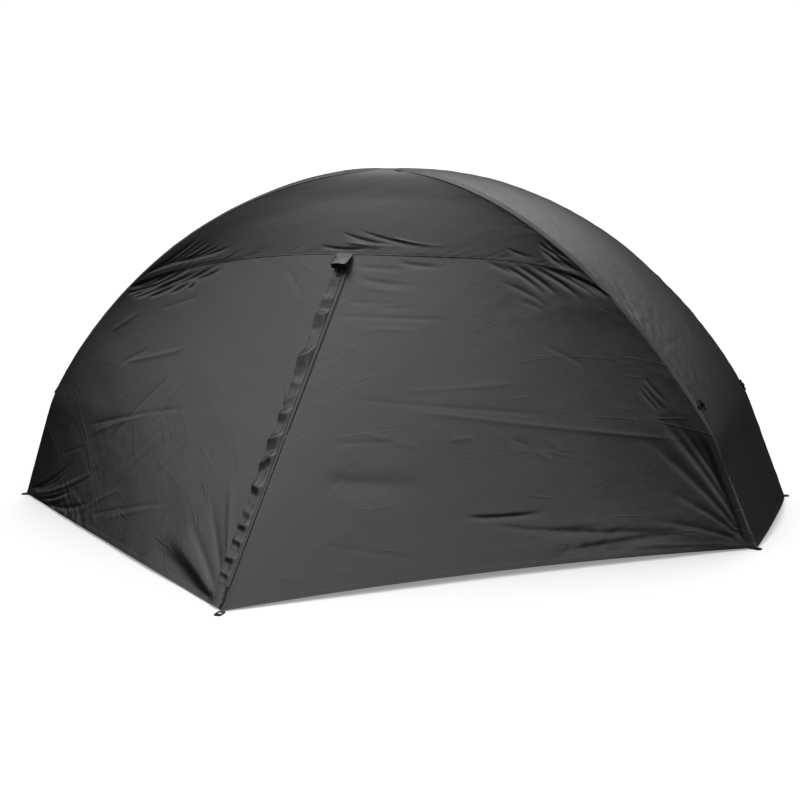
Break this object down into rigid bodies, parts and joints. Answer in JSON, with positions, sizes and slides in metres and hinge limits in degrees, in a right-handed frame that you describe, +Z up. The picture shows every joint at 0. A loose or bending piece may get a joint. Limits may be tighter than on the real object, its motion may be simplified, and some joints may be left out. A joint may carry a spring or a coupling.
{
  "type": "dome tent",
  "caption": "Low dome tent with a closed rain fly over crossing arched poles, a zipped vestibule on each long side, short sides closed to the ground.",
  "frame": {"origin": "on the ground, under the crossing of the poles", "axes": "+X along the tent from one short end to the other, -Y out of the front vestibule, +Z up"},
  "size_m": [2.309, 2.35, 1.0009],
  "materials": {
    "fly_fabric": "satin coated woven polyester, charcoal black",
    "zip_tape": "black woven zip tape with nylon coil",
    "hood_plastic": "stiffened fabric, satin",
    "black_plastic": "moulded black plastic",
    "slider_metal": "dark lacquered metal",
    "webbing": "black ribbed webbing",
    "pole_alloy": "anodised aluminium tube"
  },
  "bodies": {
    "root": {"roof_front": "fly_fabric", "roof_back": "fly_fabric", "end_panel_right": "fly_fabric", "end_panel_left": "fly_fabric", "door_front_left": "fly_fabric", "door_front_right": "fly_fabric", "door_back_left": "fly_fabric", "door_back_right": "fly_fabric", "zip_front": "zip_tape", "zip_back": "zip_tape", "zip_slider_front": "slider_metal", "zip_slider_back": "slider_metal", "storm_flap_front": "fly_fabric", "storm_flap_back": "fly_fabric", "seam_tape_front": "fly_fabric", "seam_tape_back": "fly_fabric", "hood_tab_front": "hood_plastic", "hood_tab_back": "hood_plastic", "pole_a": "pole_alloy", "pole_b": "pole_alloy", "pole_hub": "black_plastic", "pole_foot_front_left": "black_plastic", "pole_foot_front_right": "black_plastic", "pole_foot_back_right": "black_plastic", "pole_foot_back_left": "black_plastic", "corner_tab_front_left": "webbing", "corner_tab_front_right": "webbing", "corner_tab_back_right": "webbing", "corner_tab_back_left": "webbing", "stake_loop_front": "webbing", "stake_loop_back": "webbing", "guy_loop_front_left": "webbing", "guy_loop_front_right": "webbing", "guy_loop_back_right": "webbing", "guy_loop_back_left": "webbing", "guy_bar_front_left": "black_plastic", "guy_bar_front_right": "black_plastic", "guy_bar_back_right": "black_plastic", "guy_bar_back_left": "black_plastic"}
  },
  "joints": []
}
